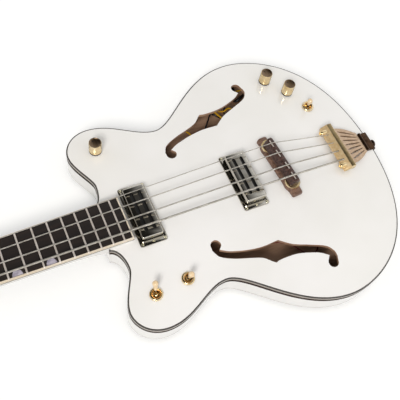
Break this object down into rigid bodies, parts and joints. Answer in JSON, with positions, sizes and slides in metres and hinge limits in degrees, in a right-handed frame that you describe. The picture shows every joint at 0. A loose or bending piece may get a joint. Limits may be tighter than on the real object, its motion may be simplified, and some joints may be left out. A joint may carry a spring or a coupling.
{
  "type": "electric bass guitar",
  "caption": "Hollow-body electric bass guitar lying on its back: arched white body with f-holes, long fretted neck, pickups, floating bridge, openwork tailpiece, knobs and tuners.",
  "frame": {"origin": "on the flat of the back, straight below the middle of the bridge", "axes": "+X from the neck to the tail, +Y to the thin strings, +Z out of the top"},
  "size_m": [1.2174, 0.3923, 0.071],
  "materials": {
    "white_lacquer": "gloss",
    "black_binding": "satin",
    "spruce": "matte",
    "dark_fretboard": "satin",
    "cream_binding": "satin",
    "bone": "satin",
    "rosewood": "satin",
    "gold_plate": "polished",
    "chrome": "polished",
    "steel": "brushed",
    "black_plastic": "matte",
    "ivory_plastic": "gloss",
    "cable": "matte"
  },
  "bodies": {
    "body": {"top_plate": "white_lacquer", "rim_sides": "white_lacquer", "back_plate": "white_lacquer", "neck": "white_lacquer", "top_binding": "black_binding", "back_binding": "black_binding", "neck_block": "spruce", "tail_block": "spruce", "treble_brace": "spruce", "bass_brace": "spruce", "fretboard": "dark_fretboard", "fretboard_binding": "cream_binding", "nut": "bone", "bridge_base": "rosewood", "saddle": "rosewood", "tailpiece_bar": "gold_plate", "tailpiece_frame": "gold_plate", "tailpiece_bracket": "gold_plate", "tail_strap_button": "gold_plate", "heel_strap_button": "gold_plate", "horn_switch": "gold_plate", "waist_switch": "gold_plate", "tail_switch": "gold_plate", "output_jack": "gold_plate", "neck_pickup_frame": "chrome", "bridge_pickup_frame": "chrome", "neck_pickup_cover": "chrome", "bridge_pickup_cover": "chrome", "tuner_housing_g": "chrome", "tuner_housing_d": "chrome", "tuner_housing_a": "chrome", "tuner_housing_e": "chrome", "string_g": "steel", "string_d": "steel", "string_a": "steel", "string_e": "steel", "truss_rod": "steel", "horn_pot": "steel", "front_pot": "steel", "rear_pot": "steel", "truss_rod_cover": "black_plastic", "neck_pickup_coils": "black_plastic", "bridge_pickup_coils": "black_plastic", "wiring": "cable"},
    "tuner_key_g": {"tuner_key_g": "chrome"},
    "tuner_key_d": {"tuner_key_d": "chrome"},
    "tuner_key_a": {"tuner_key_a": "chrome"},
    "tuner_key_e": {"tuner_key_e": "chrome"},
    "tuner_post_g": {"tuner_post_g": "chrome"},
    "tuner_post_d": {"tuner_post_d": "chrome"},
    "tuner_post_a": {"tuner_post_a": "chrome"},
    "tuner_post_e": {"tuner_post_e": "chrome"},
    "horn_knob": {"horn_knob": "gold_plate"},
    "front_knob": {"front_knob": "gold_plate"},
    "rear_knob": {"rear_knob": "gold_plate"},
    "horn_lever": {"horn_lever": "ivory_plastic"},
    "waist_lever": {"waist_lever": "ivory_plastic"},
    "tail_lever": {"tail_lever": "ivory_plastic"},
    "treble_thumbwheel": {"treble_thumbwheel": "gold_plate"},
    "bass_thumbwheel": {"bass_thumbwheel": "gold_plate"}
  },
  "joints": [
    {"name": "tuner_key_g_turn", "type": "hinge", "parent": "body", "child": "tuner_key_g", "pos_m": [-0.91683, 0.0245, 0.00656], "axis": [0, 1, 0], "continuous": true},
    {"name": "tuner_key_d_turn", "type": "hinge", "parent": "body", "child": "tuner_key_d", "pos_m": [-0.9828, 0.0255, 0.00458], "axis": [0, 1, 0], "continuous": true},
    {"name": "tuner_key_a_turn", "type": "hinge", "parent": "body", "child": "tuner_key_a", "pos_m": [-0.9828, -0.0255, 0.00458], "axis": [0, 1, 0], "continuous": true},
    {"name": "tuner_key_e_turn", "type": "hinge", "parent": "body", "child": "tuner_key_e", "pos_m": [-0.91683, -0.0245, 0.00656], "axis": [0, 1, 0], "continuous": true},
    {"name": "tuner_post_g_turn", "type": "hinge", "parent": "body", "child": "tuner_post_g", "pos_m": [-0.92966, 0.0245, 0.00417], "axis": [-0.03, 0, 0.9996], "continuous": true},
    {"name": "tuner_post_d_turn", "type": "hinge", "parent": "body", "child": "tuner_post_d", "pos_m": [-0.99563, 0.0255, 0.00219], "axis": [-0.03, 0, 0.9996], "continuous": true},
    {"name": "tuner_post_a_turn", "type": "hinge", "parent": "body", "child": "tuner_post_a", "pos_m": [-0.99563, -0.0255, 0.00219], "axis": [-0.03, 0, 0.9996], "continuous": true},
    {"name": "tuner_post_e_turn", "type": "hinge", "parent": "body", "child": "tuner_post_e", "pos_m": [-0.92966, -0.0245, 0.00417], "axis": [-0.03, 0, 0.9996], "continuous": true},
    {"name": "horn_knob_turn", "type": "hinge", "parent": "body", "child": "horn_knob", "pos_m": [-0.2305, 0.112, 0.04368], "axis": [0, 0, 1], "range_deg": [-150, 150]},
    {"name": "front_knob_turn", "type": "hinge", "parent": "body", "child": "front_knob", "pos_m": [0.0457, 0.1463, 0.04453], "axis": [0, 0, 1], "range_deg": [-150, 150]},
    {"name": "rear_knob_turn", "type": "hinge", "parent": "body", "child": "rear_knob", "pos_m": [0.0689, 0.1168, 0.04529], "axis": [0, 0, 1], "range_deg": [-150, 150]},
    {"name": "horn_lever_tilt", "type": "hinge", "parent": "body", "child": "horn_lever", "pos_m": [-0.2308, -0.1051, 0.04158], "axis": [-0.9945, 0.1045, 0], "range_deg": [-44, 0]},
    {"name": "waist_lever_tilt", "type": "hinge", "parent": "body", "child": "waist_lever", "pos_m": [-0.1869, -0.1006, 0.04221], "axis": [0.866, 0.5, 0], "range_deg": [-30, 14]},
    {"name": "tail_lever_tilt", "type": "hinge", "parent": "body", "child": "tail_lever", "pos_m": [0.0861, 0.0821, 0.04366], "axis": [0.6428, -0.766, 0], "range_deg": [-34, 10]},
    {"name": "treble_thumbwheel_turn", "type": "hinge", "parent": "body", "child": "treble_thumbwheel", "pos_m": [-0.00743, 0.0333, 0.0546], "axis": [0, 0, 1], "continuous": true},
    {"name": "bass_thumbwheel_turn", "type": "hinge", "parent": "body", "child": "bass_thumbwheel", "pos_m": [-0.00257, -0.0285, 0.0546], "axis": [0, 0, 1], "continuous": true}
  ],
  "couplings": [
    {"joint": "tuner_post_g_turn", "follows": "tuner_key_g_turn", "ratio": 0.05},
    {"joint": "tuner_post_d_turn", "follows": "tuner_key_d_turn", "ratio": 0.05},
    {"joint": "tuner_post_a_turn", "follows": "tuner_key_a_turn", "ratio": -0.05},
    {"joint": "tuner_post_e_turn", "follows": "tuner_key_e_turn", "ratio": -0.05}
  ]
}
